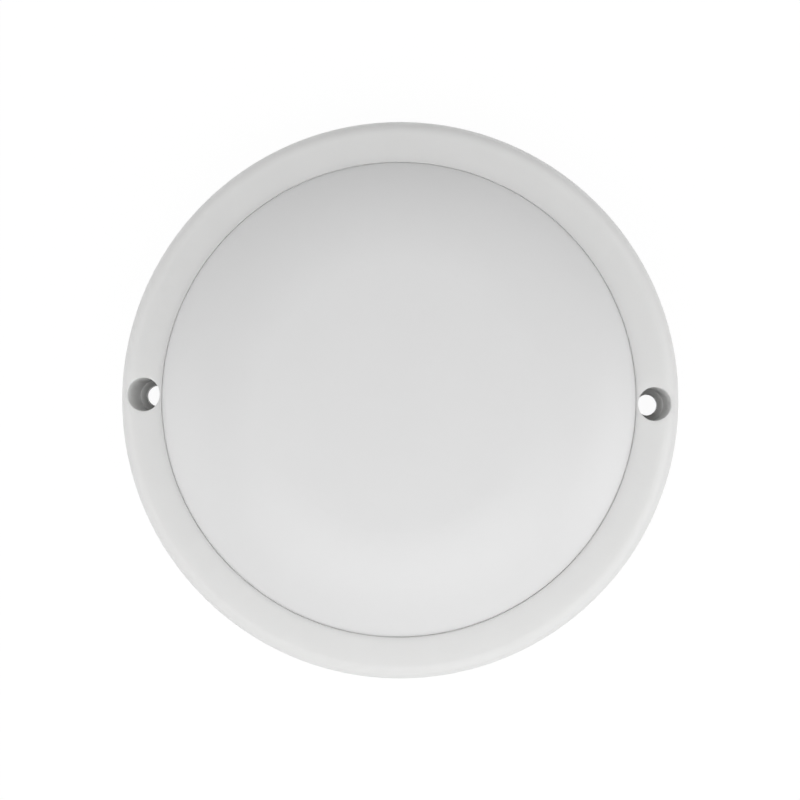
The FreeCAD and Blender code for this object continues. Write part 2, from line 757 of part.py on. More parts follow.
def terminal_screws():
    """Slotted clamp screws: run down on the leads, and backed out on the mains side."""
    screws = []
    for y, tip_z in ((-clamp_pitch / 2, wire_z + lead_core_r + fit_gap),
                     (clamp_pitch / 2, wire_z + clamp_bore_r)):
        seat_z = tip_z + clamp_screw_length
        shape = screw(clamp_head_r, clamp_head, clamp_screw_r, tip_z, seat_z, cross=False)
        screws += terminal_poles(moved(shape, y=y))
    return screws


def terminal_fixing_screw():
    """It holds the terminal block down on the housing's pedestal."""
    seat_z = wire_z + clamp_r
    shape = screw(board_screw_head_r, board_screw_head, board_screw_r, screw_tip_z + fit_gap, seat_z)
    return moved(shape, y=terminal_y)


def lead(side):
    """Insulated lead from the terminal block up to the board connector."""
    start_x = side * pole_pitch / 2
    end_x = side * connector_width / 4
    route = [(start_x, terminal_face_y + lead_seat, wire_z),
             (start_x, terminal_face_y - lead_run, wire_z),
             (end_x, connector_y + lead_run, connector_wire_z),
             (end_x, connector_y - lead_seat, connector_wire_z)]
    return bent_wire(route, lead_r)


def lead_ferrules():
    """Crimped ends of the leads, in the terminal block and in the connector."""
    cores = []
    for side in (-1, 1):
        cores.append(Part.makeCylinder(lead_core_r, core_length,
                                       Vector(side * pole_pitch / 2, terminal_face_y + lead_seat, wire_z),
                                       Vector(0, 1, 0)))
        cores.append(Part.makeCylinder(lead_core_r, core_length,
                                       Vector(side * connector_width / 4, connector_y - lead_seat,
                                              connector_wire_z),
                                       Vector(0, -1, 0)))
    return cores


# --- Write the nodes ------------------------------------------------------------------------------------------
save("base_housing", base_housing())
save("diffuser", diffuser())
save("sealing_ring", sealing_ring())
save("inlet_grommet", inlet_grommet())
save("heat_spreader", heat_spreader())
save("thermal_pad", thermal_pad())
save("led_board", led_board())
save("board_screws", *board_screws())
save("led_packages", *led_packages())
save("led_phosphors", *led_phosphors())
save("driver_chips", *driver_chips())
save("bridge_rectifier", *bridge_rectifier())
save("component_pins", *component_pins())
save("varistor", *varistor())
save("fuse_resistor", *fuse_resistor())
save("filter_capacitor", *filter_capacitor())
save("capacitor_sleeve", *capacitor_sleeve())
save("component_legs", *component_legs())
save("chip_resistors", *chip_resistors())
save("board_connector", board_connector())
save("connector_contacts", *connector_contacts())
save("terminal_block", terminal_block())
save("terminal_clamps", *terminal_clamps())
save("terminal_screws", *terminal_screws())
save("terminal_fixing_screw", terminal_fixing_screw())
save("lead_line", lead(1))
save("lead_neutral", lead(-1))
save("lead_ferrules", *lead_ferrules())
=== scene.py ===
import math

import bpy
from mathutils import Matrix, Vector


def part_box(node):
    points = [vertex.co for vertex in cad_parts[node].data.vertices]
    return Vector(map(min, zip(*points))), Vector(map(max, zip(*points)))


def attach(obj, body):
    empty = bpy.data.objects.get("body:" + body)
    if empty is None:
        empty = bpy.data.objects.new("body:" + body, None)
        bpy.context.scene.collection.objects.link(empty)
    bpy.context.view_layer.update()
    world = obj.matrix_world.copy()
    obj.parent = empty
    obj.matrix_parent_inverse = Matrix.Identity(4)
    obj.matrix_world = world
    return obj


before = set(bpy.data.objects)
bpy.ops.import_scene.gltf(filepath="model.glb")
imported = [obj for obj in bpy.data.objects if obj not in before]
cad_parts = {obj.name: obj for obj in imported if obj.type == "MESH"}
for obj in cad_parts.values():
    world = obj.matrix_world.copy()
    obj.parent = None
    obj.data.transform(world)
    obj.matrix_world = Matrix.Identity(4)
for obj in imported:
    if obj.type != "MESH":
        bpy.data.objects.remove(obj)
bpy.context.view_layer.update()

MM = 0.001

# --- Housing --------------------------------------------------------------------------------------
# The housing is one injection moulding in white ASA, the plastic of outdoor fittings. The mould is
# spark eroded, so the rim has a very fine even grain and a satin sheen, a touch warmer than the diffuser.
# White ASA lets a little light through, which softens the dark of the deep screw wells.


def linear(hex_colour):
    """The linear colour, with alpha, of an sRGB hex value."""
    shares = [int(hex_colour[k:k + 2], 16) / 255 for k in (1, 3, 5)]
    return [s / 12.92 if s <= 0.04045 else ((s + 0.055) / 1.055) ** 2.4 for s in shares] + [1.0]


def add_node(material, kind, inputs=None, **settings):
    """One shader node. An input is given a value, or the socket that feeds it."""
    tree = material.node_tree
    made = tree.nodes.new(kind)
    for name, value in settings.items():
        setattr(made, name, value)
    for name, value in (inputs or {}).items():
        if isinstance(value, bpy.types.NodeSocket):
            tree.links.new(value, made.inputs[name])
        else:
            made.inputs[name].default_value = value
    return made


def new_material(name):
    """An empty material, and the object coordinates that its patterns follow."""
    material = bpy.data.materials.new(name)
    material.use_nodes = True
    material.node_tree.nodes.clear()
    return material, add_node(material, "ShaderNodeTexCoord").outputs["Object"]


def drift(material, place, size, first, second):
    """Soft patches of a real size between two colours, and the noise that they follow."""
    cloud = add_node(material, "ShaderNodeTexNoise", {"Vector": place, "Scale": 1 / size, "Detail": 2.0})
    tint = add_node(material, "ShaderNodeMix",
                    {"Factor": cloud.outputs["Fac"], "A": linear(first), "B": linear(second)},
                    data_type="RGBA")
    return tint.outputs["Result"], cloud.outputs["Fac"]


def texture(material, place, size, depth):
    """Surface normals over bumps of a real size and depth."""
    grain = add_node(material, "ShaderNodeTexNoise", {"Vector": place, "Scale": 1 / size, "Detail": 2.0})
    relief = add_node(material, "ShaderNodeBump", {"Height": grain.outputs["Fac"], "Distance": depth})
    return relief.outputs["Normal"]


def spread(material, value, low, high):
    """A value between 0 and 1, spread over a range."""
    return add_node(material, "ShaderNodeMapRange",
                    {"Value": value, "To Min": low, "To Max": high}).outputs["Result"]


def put_on(material, shader, *pieces):
    """Closes a material with its shader, and gives it to CAD nodes by name or to new pieces."""
    add_node(material, "ShaderNodeOutputMaterial", {"Surface": shader.outputs[0]})
    for piece in pieces:
        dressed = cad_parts[piece] if isinstance(piece, str) else piece
        dressed.data.materials.clear()
        dressed.data.materials.append(material)


moulded_asa, place = new_material("moulded_asa")
asa_grain = 0.5 * MM           # spark grain is finer than this, and is drawn just coarse enough to show
asa_cloud = 30 * MM            # slow drift of the pigment
tint, cloud = drift(moulded_asa, place, asa_cloud, "#E8E8E7", "#ECECEB")
shader = add_node(moulded_asa, "ShaderNodeBsdfPrincipled",
                  {"Base Color": tint, "Roughness": spread(moulded_asa, cloud, 0.42, 0.50),
                   "Normal": texture(moulded_asa, place, asa_grain, 0.006 * MM), "IOR": 1.51,
                   "Subsurface Weight": 0.9, "Subsurface Radius": (1.0, 1.0, 1.0),
                   "Subsurface Scale": 4.0 * MM})
put_on(moulded_asa, shader, "base_housing")

# --- Sealing ring ---------------------------------------------------------------------------------
# The sealing ring is cut from translucent silicone cord. It is milky, soft and slightly dusty,
# and it lies in the groove between the tray and the bore.
silicone, place = new_material("translucent_silicone")
tint, cloud = drift(silicone, place, 4 * MM, "#C9C9C2", "#D6D6D0")
shader = add_node(silicone, "ShaderNodeBsdfPrincipled",
                  {"Base Color": tint, "Roughness": spread(silicone, cloud, 0.35, 0.55), "IOR": 1.41,
                   "Subsurface Weight": 0.5, "Subsurface Radius": (1.0, 1.0, 1.0),
                   "Subsurface Scale": 1.5 * MM})
put_on(silicone, shader, "sealing_ring")

# --- Cable inlet ----------------------------------------------------------------------------------
# The grommet is moulded in black EPDM rubber. It is dull, and greyish where the mould has rubbed.
epdm, place = new_material("epdm_rubber")
tint, cloud = drift(epdm, place, 2.5 * MM, "#1C1C1D", "#2B2B2C")
shader = add_node(epdm, "ShaderNodeBsdfPrincipled",
                  {"Base Color": tint, "Roughness": spread(epdm, cloud, 0.60, 0.80), "IOR": 1.52,
                   "Normal": texture(epdm, place, 0.3 * MM, 0.01 * MM)})
put_on(epdm, shader, "inlet_grommet")

# --- Pan, pad and board ---------------------------------------------------------------------------
# The pan is pressed from rolled aluminium sheet, whose rolling lines run one way and streak its
# shine. The pad is grey-blue silicone full of ceramic powder, slightly mottled, and nothing is printed on it.
rolled_aluminium, place = new_material("rolled_aluminium")
roll_line = 0.25 * MM          # across the lines: finer ones are merged into streaks that show
roll_length = 25 * MM
lines = add_node(rolled_aluminium, "ShaderNodeMapping",
                 {"Vector": place, "Scale": (1 / roll_line, 1 / roll_length, 1 / roll_line)})
streaks = add_node(rolled_aluminium, "ShaderNodeTexNoise",
                   {"Vector": lines.outputs["Vector"], "Scale": 1.0, "Detail": 3.0})
tint = add_node(rolled_aluminium, "ShaderNodeMix",
                {"Factor": streaks.outputs["Fac"], "A": linear("#B8BABC"), "B": linear("#CFD0D2")},
                data_type="RGBA")
relief = add_node(rolled_aluminium, "ShaderNodeBump",
                  {"Height": streaks.outputs["Fac"], "Distance": 0.004 * MM})
shader = add_node(rolled_aluminium, "ShaderNodeBsdfPrincipled",
                  {"Base Color": tint.outputs["Result"], "Metallic": 1.0,
                   "Roughness": spread(rolled_aluminium, streaks.outputs["Fac"], 0.28, 0.48),
                   "Normal": relief.outputs["Normal"]})
put_on(rolled_aluminium, shader, "heat_spreader")

filled_silicone, place = new_material("filled_silicone")
tint, cloud = drift(filled_silicone, place, 0.8 * MM, "#737D88", "#87909A")
shader = add_node(filled_silicone, "ShaderNodeBsdfPrincipled",
                  {"Base Color": tint, "Roughness": spread(filled_silicone, cloud, 0.55, 0.70), "IOR": 1.45,
                   "Normal": texture(filled_silicone, place, 0.3 * MM, 0.01 * MM)})
put_on(filled_silicone, shader, "thermal_pad")

# The board is an aluminium plate with copper pads under glossy white lacquer. The gaps between the
# copper fields show through the lacquer as faint sunk lines: rings, and short lines at each LED.
board_low, board_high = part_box("led_board")
board_top = board_high[2]
board_r = board_high[0]
outer_led_r = board_r - 5 * MM
inner_led_r = outer_led_r - 10 * MM
outer_leds = 24
inner_leds = 16
copper_gap = 0.4 * MM
field_reach = 4.2 * MM         # of a copper field, to both sides of its ring of LEDs

white_lacquer, place = new_material("white_solder_mask")
axes = add_node(white_lacquer, "ShaderNodeSeparateXYZ", {0: place})
flat = add_node(white_lacquer, "ShaderNodeCombineXYZ", {"X": axes.outputs["X"], "Y": axes.outputs["Y"]})
radius = add_node(white_lacquer, "ShaderNodeVectorMath", {0: flat.outputs[0]},
                  operation="LENGTH").outputs["Value"]
angle = add_node(white_lacquer, "ShaderNodeMath", {0: axes.outputs["Y"], 1: axes.outputs["X"]},
                 operation="ARCTAN2").outputs[0]
gaps = None
for led_r, count in ((outer_led_r, outer_leds), (inner_led_r, inner_leds)):
    turns = add_node(white_lacquer, "ShaderNodeMath", {0: angle, 1: count / math.tau}, operation="MULTIPLY")
    phase = add_node(white_lacquer, "ShaderNodeMath", {0: turns.outputs[0]}, operation="FRACT")
    half_gap = copper_gap / 2 * count / (math.tau * led_r)
    spoke = add_node(white_lacquer, "ShaderNodeMath", {0: phase.outputs[0], 1: 0.5, 2: half_gap},
                     operation="COMPARE")
    inside = add_node(white_lacquer, "ShaderNodeMath", {0: radius, 1: led_r, 2: field_reach},
                      operation="COMPARE")
    marks = [add_node(white_lacquer, "ShaderNodeMath", {0: spoke.outputs[0], 1: inside.outputs[0]},
                      operation="MULTIPLY")]
    for edge_r in (led_r - field_reach, led_r + field_reach):
        marks.append(add_node(white_lacquer, "ShaderNodeMath", {0: radius, 1: edge_r, 2: copper_gap / 2},
                              operation="COMPARE"))
    for mark in marks:
        gaps = mark.outputs[0] if gaps is None else add_node(
            white_lacquer, "ShaderNodeMath", {0: gaps, 1: mark.outputs[0]}, operation="MAXIMUM").outputs[0]
lacquer_tint, cloud = drift(white_lacquer, place, 12 * MM, "#E8E8E4", "#EEEEEB")
sunk = add_node(white_lacquer, "ShaderNodeMix",
                {"Factor": spread(white_lacquer, gaps, 0.0, 0.35), "A": lacquer_tint, "B": linear("#C9CFC6")},
                data_type="RGBA")
dip = add_node(white_lacquer, "ShaderNodeBump", {"Height": gaps, "Distance": 0.04 * MM}, invert=True)

# Only the top is lacquered. The rim of the plate and its underside are bare aluminium.
facing = add_node(white_lacquer, "ShaderNodeTexCoord").outputs["Normal"]
upward = add_node(white_lacquer, "ShaderNodeSeparateXYZ", {0: facing}).outputs["Z"]
printed = add_node(white_lacquer, "ShaderNodeMath", {0: upward, 1: 0.5},
                   operation="GREATER_THAN").outputs[0]
skin = add_node(white_lacquer, "ShaderNodeMix",
                {"Factor": printed, "A": linear("#B9BBBD"), "B": sunk.outputs["Result"]}, data_type="RGBA")
bare = spread(white_lacquer, printed, 1.0, 0.0)
shader = add_node(white_lacquer, "ShaderNodeBsdfPrincipled",
                  {"Base Color": skin.outputs["Result"], "Metallic": bare,
                   "Roughness": spread(white_lacquer, cloud, 0.24, 0.34), "Normal": dip.outputs["Normal"]})
put_on(white_lacquer, shader, "led_board")

# --- Screws ---------------------------------------------------------------------------------------
# The screws are steel, cold headed and zinc plated. The plating is bright but not even: it is bluish
# in one place and greyer in the next.
zinc, place = new_material("zinc_plated_steel")
tint, cloud = drift(zinc, place, 1.2 * MM, "#AEB3B9", "#C6C8C9")
shader = add_node(zinc, "ShaderNodeBsdfPrincipled",
                  {"Base Color": tint, "Metallic": 1.0, "Roughness": spread(zinc, cloud, 0.25, 0.45),
                   "Normal": texture(zinc, place, 0.2 * MM, 0.004 * MM)})
put_on(zinc, shader, "board_screws", "terminal_screws", "terminal_fixing_screw")

# --- LEDs -----------------------------------------------------------------------------------------
# An LED is a white PPA body round a shallow cup, and the cup is filled with silicone gel full of
# yellow phosphor, which is grainy close to and looks like yolk when it is off.
ppa, place = new_material("white_ppa")
tint, cloud = drift(ppa, place, 1.5 * MM, "#ECECE8", "#F1F1EF")
shader = add_node(ppa, "ShaderNodeBsdfPrincipled",
                  {"Base Color": tint, "Roughness": spread(ppa, cloud, 0.35, 0.45), "IOR": 1.55})
put_on(ppa, shader, "led_packages")

phosphor, place = new_material("phosphor_gel")
tint, cloud = drift(phosphor, place, 0.25 * MM, "#E5B93A", "#F3D263")
shader = add_node(phosphor, "ShaderNodeBsdfPrincipled",
                  {"Base Color": tint, "Roughness": spread(phosphor, cloud, 0.22, 0.38), "IOR": 1.53,
                   "Subsurface Weight": 0.3, "Subsurface Radius": (1.0, 0.8, 0.4),
                   "Subsurface Scale": 0.3 * MM})
put_on(phosphor, shader, "led_phosphors")

# --- Chips, rectifier and their legs --------------------------------------------------------------
# Chips are pressed from black epoxy with glass powder in it, matt with a slightly sandy skin. Their
# legs are tinned copper.
epoxy, place = new_material("black_epoxy")
tint, cloud = drift(epoxy, place, 1.0 * MM, "#1D1D1E", "#2A2A2B")
shader = add_node(epoxy, "ShaderNodeBsdfPrincipled",
                  {"Base Color": tint, "Roughness": spread(epoxy, cloud, 0.50, 0.65), "IOR": 1.55,
                   "Normal": texture(epoxy, place, 0.15 * MM, 0.01 * MM)})
put_on(epoxy, shader, "driver_chips", "bridge_rectifier")

tin, place = new_material("tinned_copper")
tint, cloud = drift(tin, place, 0.6 * MM, "#BFC0C1", "#D6D6D5")
shader = add_node(tin, "ShaderNodeBsdfPrincipled",
                  {"Base Color": tint, "Metallic": 1.0, "Roughness": spread(tin, cloud, 0.22, 0.40)})
put_on(tin, shader, "component_pins", "component_legs", "connector_contacts", "lead_ferrules")

# --- Varistor, fusible resistor and capacitor -----------------------------------------------------
# The varistor is dipped in blue epoxy, which leaves a glossy skin with slow waves.
dipped_epoxy, place = new_material("dipped_blue_epoxy")
tint, cloud = drift(dipped_epoxy, place, 2.0 * MM, "#1F4E97", "#2C60AC")
shader = add_node(dipped_epoxy, "ShaderNodeBsdfPrincipled",
                  {"Base Color": tint, "Roughness": spread(dipped_epoxy, cloud, 0.15, 0.28), "IOR": 1.56,
                   "Normal": texture(dipped_epoxy, place, 1.5 * MM, 0.03 * MM)})
put_on(dipped_epoxy, shader, "varistor")

# The fusible resistor is sprayed with greyish green cement lacquer, and has four painted bands
# round its body, the last one set apart from the rest.
part_ring_r = 31 * MM
varistor_degrees, fuse_degrees, capacitor_degrees = 237, 300, 335
fuse_angle = math.radians(fuse_degrees)
fuse_bands = ((-2.0, "#C4862A"), (-1.0, "#1B1B1B"), (0.0, "#7A4A21"), (2.1, "#C9A63C"))     # mm, colour
band_width = 0.55 * MM
cement_lacquer, place = new_material("banded_cement_lacquer")
turned_back = add_node(cement_lacquer, "ShaderNodeVectorRotate", {"Vector": place, "Angle": -fuse_angle})
along = add_node(cement_lacquer, "ShaderNodeSeparateXYZ", {0: turned_back.outputs[0]}).outputs["Y"]
tint, cloud = drift(cement_lacquer, place, 0.8 * MM, "#6F8A78", "#7E9986")
for band_place, band_colour in fuse_bands:
    band = add_node(cement_lacquer, "ShaderNodeMath",
                    {0: along, 1: band_place * MM, 2: band_width / 2}, operation="COMPARE")
    tint = add_node(cement_lacquer, "ShaderNodeMix",
                    {"Factor": band.outputs[0], "A": tint, "B": linear(band_colour)},
                    data_type="RGBA").outputs["Result"]
shader = add_node(cement_lacquer, "ShaderNodeBsdfPrincipled",
                  {"Base Color": tint, "Roughness": spread(cement_lacquer, cloud, 0.35, 0.50), "IOR": 1.5,
                   "Normal": texture(cement_lacquer, place, 0.3 * MM, 0.015 * MM)})
put_on(cement_lacquer, shader, "fuse_resistor")

# The capacitor is a drawn aluminium can in a shrunk sleeve of dark film. The sleeve has the pale
# stripe along one side that marks the negative leg.
drawn_aluminium, place = new_material("drawn_aluminium")
tint, cloud = drift(drawn_aluminium, place, 0.8 * MM, "#C3C5C7", "#D4D5D6")
shader = add_node(drawn_aluminium, "ShaderNodeBsdfPrincipled",
                  {"Base Color": tint, "Metallic": 1.0,
                   "Roughness": spread(drawn_aluminium, cloud, 0.22, 0.34)})
put_on(drawn_aluminium, shader, "filter_capacitor")

capacitor_angle = math.radians(capacitor_degrees)
capacitor_axis = board_top + 4 * MM
stripe_width = 3.4 * MM
stripe_x = part_ring_r - 1.6 * MM
shrunk_film, place = new_material("shrunk_pet_film")
turned_back = add_node(shrunk_film, "ShaderNodeVectorRotate", {"Vector": place, "Angle": -capacitor_angle})
axes = add_node(shrunk_film, "ShaderNodeSeparateXYZ", {0: turned_back.outputs[0]})
on_top = add_node(shrunk_film, "ShaderNodeMath", {0: axes.outputs["Z"], 1: capacitor_axis},
                  operation="GREATER_THAN")
stripe = add_node(shrunk_film, "ShaderNodeMath",
                  {0: axes.outputs["X"], 1: stripe_x, 2: stripe_width / 2},
                  operation="COMPARE")
stripe = add_node(shrunk_film, "ShaderNodeMath", {0: stripe.outputs[0], 1: on_top.outputs[0]},
                  operation="MULTIPLY")
tint, cloud = drift(shrunk_film, place, 2.5 * MM, "#1A2430", "#222E3C")
marked = add_node(shrunk_film, "ShaderNodeMix",
                  {"Factor": stripe.outputs[0], "A": tint, "B": linear("#A9AFB2")}, data_type="RGBA")
shader = add_node(shrunk_film, "ShaderNodeBsdfPrincipled",
                  {"Base Color": marked.outputs["Result"], "IOR": 1.57,
                   "Roughness": spread(shrunk_film, cloud, 0.16, 0.26),
                   "Normal": texture(shrunk_film, place, 2.0 * MM, 0.02 * MM)})
put_on(shrunk_film, shader, "capacitor_sleeve")

# --- Chip resistors -------------------------------------------------------------------------------
# A chip resistor is a slip of alumina under a black glaze.
glazed_alumina, place = new_material("black_glazed_alumina")
tint, cloud = drift(glazed_alumina, place, 0.6 * MM, "#161617", "#242425")
shader = add_node(glazed_alumina, "ShaderNodeBsdfPrincipled",
                  {"Base Color": tint, "Roughness": spread(glazed_alumina, cloud, 0.22, 0.38), "IOR": 1.6})
put_on(glazed_alumina, shader, "chip_resistors")

# --- Connector, terminal block and leads ----------------------------------------------------------
# The board connector is moulded in white nylon and the mains terminal in natural nylon, which is
# yellower, waxy and a little see-through at its edges.
for name, dark, pale, milky, node in (("white_nylon", "#E0E0DC", "#E8E8E5", 0.15, "board_connector"),
                                      ("natural_nylon", "#DAD5C6", "#E3DFD2", 0.35, "terminal_block")):
    nylon, place = new_material(name)
    tint, cloud = drift(nylon, place, 5 * MM, dark, pale)
    shader = add_node(nylon, "ShaderNodeBsdfPrincipled",
                      {"Base Color": tint, "Roughness": spread(nylon, cloud, 0.32, 0.45), "IOR": 1.53,
                       "Subsurface Weight": milky, "Subsurface Radius": (1.0, 0.9, 0.7),
                       "Subsurface Scale": 1.0 * MM, "Normal": texture(nylon, place, 0.4 * MM, 0.004 * MM)})
    put_on(nylon, shader, node)

# The clamps are sawn and drilled from brass tube and have dulled to a brownish yellow in patches.
brass, place = new_material("turned_brass")
tint, cloud = drift(brass, place, 1.0 * MM, "#B08D4A", "#CDAB64")
shader = add_node(brass, "ShaderNodeBsdfPrincipled",
                  {"Base Color": tint, "Metallic": 1.0, "Roughness": spread(brass, cloud, 0.22, 0.40)})
put_on(brass, shader, "terminal_clamps")

# The leads are stranded wire in soft PVC, brown for line and blue for neutral. The skin is
# smooth from the extruder and slightly wavy over the strands.
for name, dark, pale, node in (("brown_pvc", "#54301B", "#623A22", "lead_line"),
                               ("blue_pvc", "#1F5FA8", "#2A6DB8", "lead_neutral")):
    pvc, place = new_material(name)
    tint, cloud = drift(pvc, place, 2 * MM, dark, pale)
    shader = add_node(pvc, "ShaderNodeBsdfPrincipled",
                      {"Base Color": tint, "Roughness": spread(pvc, cloud, 0.35, 0.48), "IOR": 1.53,
                       "Normal": texture(pvc, place, 0.7 * MM, 0.008 * MM)})
    put_on(pvc, shader, node)

# --- Solder ---------------------------------------------------------------------------------------
# Reflowed and hand-made solder joints: a small hollow wedge of tin at each end of an LED, a chip
# resistor, a chip's leg and a connector's tail, and a cone round each wire leg.
solder, place = new_material("lead_free_solder")
tint, cloud = drift(solder, place, 0.5 * MM, "#B4B6B8", "#D0D1D1")
shader = add_node(solder, "ShaderNodeBsdfPrincipled",
                  {"Base Color": tint, "Metallic": 1.0, "Roughness": spread(solder, cloud, 0.20, 0.42)})
wedge_reach = 0.45 * MM
wedge_height = 0.4 * MM
wedge_waist = 0.14 * MM        # height halfway along, which makes the wedge hollow
wedge_toe = 0.03 * MM
wedge_taper = 0.9              # it narrows a little towards the toe
sink = 0.01 * MM               # a joint is bonded to what it touches, so it starts just inside


def start_piece(name):
    """The piece that a primitive has just made, with its name."""
    bpy.context.object.name = name
    return bpy.context.object


def copies(piece, places):
    """One mesh with a copy of a piece at each place, and the piece itself gone."""
    made = []
    for turn_and_shift in places:
        copy = piece.copy()
        copy.data = piece.data.copy()
        copy.data.transform(turn_and_shift)
        bpy.context.collection.objects.link(copy)
        made.append(copy)
    bpy.ops.object.select_all(action="DESELECT")
    for copy in made:
        copy.select_set(True)
    bpy.context.view_layer.objects.active = made[0]
    bpy.ops.object.join()
    joined = bpy.context.object
    name = piece.name
    bpy.data.objects.remove(piece)
    joined.name = name
    return joined


def on_ring(ring_r, degrees, x=0.0, y=0.0, turn=0.0, stretch=1.0, rise=1.0):
    """The place of a joint on the board: out along a ring, with an offset in mm and a turn of its own."""
    return (Matrix.Rotation(math.radians(degrees), 4, "Z")
            @ Matrix.Translation((ring_r + x * MM, y * MM, board_top))
            @ Matrix.Rotation(math.radians(turn), 4, "Z") @ Matrix.Diagonal((1, stretch, rise, 1)))


# The wedge stands against a face at x = 0 and runs out along +X. It is 1 mm wide, and each joint
# stretches it to its own width.
bpy.ops.object.select_all(action="DESELECT")
bpy.ops.mesh.primitive_cube_add(size=1.0)
bpy.ops.object.mode_set(mode="EDIT")
bpy.ops.mesh.bisect(plane_co=(0, 0, 0), plane_no=(1, 0, 0))
bpy.ops.object.mode_set(mode="OBJECT")
wedge = start_piece("solder_fillets")
wedge.data.transform(Matrix.Diagonal((wedge_reach, 1 * MM, wedge_height, 1))
                     @ Matrix.Translation((0.5 - sink / wedge_reach, 0, 0.5)))
for corner in wedge.data.vertices:
    if corner.co.z > wedge_height / 2 and corner.co.x > 0.3 * wedge_reach:
        corner.co.y *= wedge_taper
        corner.co.z = wedge_waist if corner.co.x < 0.8 * wedge_reach else wedge_toe
bpy.ops.object.modifier_add(type="BEVEL")
wedge.modifiers["Bevel"].width = 0.015 * MM
wedge.modifiers["Bevel"].segments = 1
bpy.ops.object.modifier_apply(modifier="Bevel")

# half lengths of an LED and of a chip resistor, and how far a contact's tail is off the middle, in mm
led_end, resistor_end, contact_tail = 1.75, 1.6, 2.25
led_joint_width, resistor_joint_width, tail_joint_width, leg_joint_width = 2.2, 1.4, 1.8, 0.6
leg_joint_rise = 0.45          # of the wedge's height: a chip's leg is thin where it meets the board
joints = []
for led_r, count in ((outer_led_r, outer_leds), (inner_led_r, inner_leds)):
    for k in range(count):
        degrees = (k + 0.5) * 360 / count
        joints += [on_ring(led_r, degrees, y=led_end, turn=90, stretch=led_joint_width),
                   on_ring(led_r, degrees, y=-led_end, turn=-90, stretch=led_joint_width)]
resistor_angles = (62, 73, 84, 96, 107, 118, 168, 178)
for degrees in resistor_angles:
    joints += [on_ring(part_ring_r, degrees, y=resistor_end, turn=90, stretch=resistor_joint_width),
               on_ring(part_ring_r, degrees, y=-resistor_end, turn=-90, stretch=resistor_joint_width)]
# place of each chip on the ring in degrees, half the span over its legs and their pitch in mm, and
# the legs on each side
packages = ((145, 2.95, 1.27, 4), (35, 2.95, 1.27, 4), (205, 3.0, 2.5, 2))
for degrees, reach, pitch, legs in packages:
    for k in range(legs):
        y = (k - (legs - 1) / 2) * pitch
        joints += [on_ring(part_ring_r, degrees, x=reach, y=y, stretch=leg_joint_width, rise=leg_joint_rise),
                   on_ring(part_ring_r, degrees, x=-reach, y=y, turn=180, stretch=leg_joint_width,
                           rise=leg_joint_rise)]
for x in (-contact_tail, contact_tail):
    joints.append(Matrix.Translation((x * MM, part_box("connector_contacts")[0][1], board_top))
                  @ Matrix.Rotation(math.radians(-90), 4, "Z")
                  @ Matrix.Diagonal((1, tail_joint_width, 1, 1)))
fillets = copies(wedge, joints)
put_on(solder, shader, fillets)
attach(fillets, "housing")

# A cone of solder climbs each wire leg, steep at the leg and flat at its foot.
cone_foot = 0.95 * MM
cone_neck = 0.34 * MM
cone_height = 0.8 * MM
bpy.ops.object.select_all(action="DESELECT")
bpy.ops.mesh.primitive_cone_add(vertices=20, radius1=cone_foot, radius2=cone_neck, depth=cone_height,
                                location=(0, 0, cone_height / 2))
bpy.ops.object.mode_set(mode="EDIT")
for height, waist in ((0.55, 0.62), (0.25, 0.80)):     # shares of the height, and of the width there
    bpy.ops.mesh.select_all(action="SELECT")
    bpy.ops.mesh.bisect(plane_co=(0, 0, height * cone_height), plane_no=(0, 0, 1))
    bpy.ops.transform.resize(value=(waist, waist, 1), center_override=(0, 0, 0))
bpy.ops.object.mode_set(mode="OBJECT")
cone = start_piece("leg_solder")
cone.data.transform(Matrix.Translation((0, 0, cone_height / 2)))
bpy.ops.object.shade_smooth_by_angle(angle=math.radians(50))
# where each part stands on the ring in degrees, and its two legs beside that in mm
legs = ((varistor_degrees, (0, -1.6), (0, 1.6)), (fuse_degrees, (0, -5.1), (0, 5.1)),
        (capacitor_degrees, (-1.6, 7.1), (1.6, 7.1)))
feet = [on_ring(part_ring_r, degrees, x=x, y=y) for degrees, *pair in legs for x, y in pair]
cones = copies(cone, feet)
cones.data.materials.clear()
cones.data.materials.append(solder)
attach(cones, "housing")

# --- End caps of the chip resistors ---------------------------------------------------------------
# Each end of a chip resistor is dipped in silver paste and tinned, so it wears a bright cap.
cap_length = 0.45 * MM
cap_skin = 0.03 * MM
resistor_width = 1.6 * MM
resistor_height = 0.6 * MM
bpy.ops.object.select_all(action="DESELECT")
bpy.ops.mesh.primitive_cube_add(size=1.0)
cap = start_piece("resistor_end_caps")
cap_height = resistor_height + cap_skin
cap.data.transform(Matrix.Translation((0, resistor_end * MM - cap_length / 2 + cap_skin, cap_height / 2))
                   @ Matrix.Diagonal((resistor_width + 2 * cap_skin, cap_length, cap_height, 1)))
bpy.ops.object.modifier_add(type="BEVEL")
cap.modifiers["Bevel"].width = 0.06 * MM
cap.modifiers["Bevel"].segments = 2
bpy.ops.object.modifier_apply(modifier="Bevel")
bpy.ops.object.shade_smooth_by_angle(angle=math.radians(50))
ends = [on_ring(part_ring_r, degrees, turn=turn) for degrees in resistor_angles for turn in (0, 180)]
caps = copies(cap, ends)
tin_cap, place = new_material("tinned_silver")
tint, cloud = drift(tin_cap, place, 0.4 * MM, "#C6C7C8", "#DCDCDB")
shader = add_node(tin_cap, "ShaderNodeBsdfPrincipled",
                  {"Base Color": tint, "Metallic": 1.0, "Roughness": spread(tin_cap, cloud, 0.25, 0.42)})
put_on(tin_cap, shader, caps)
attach(caps, "housing")

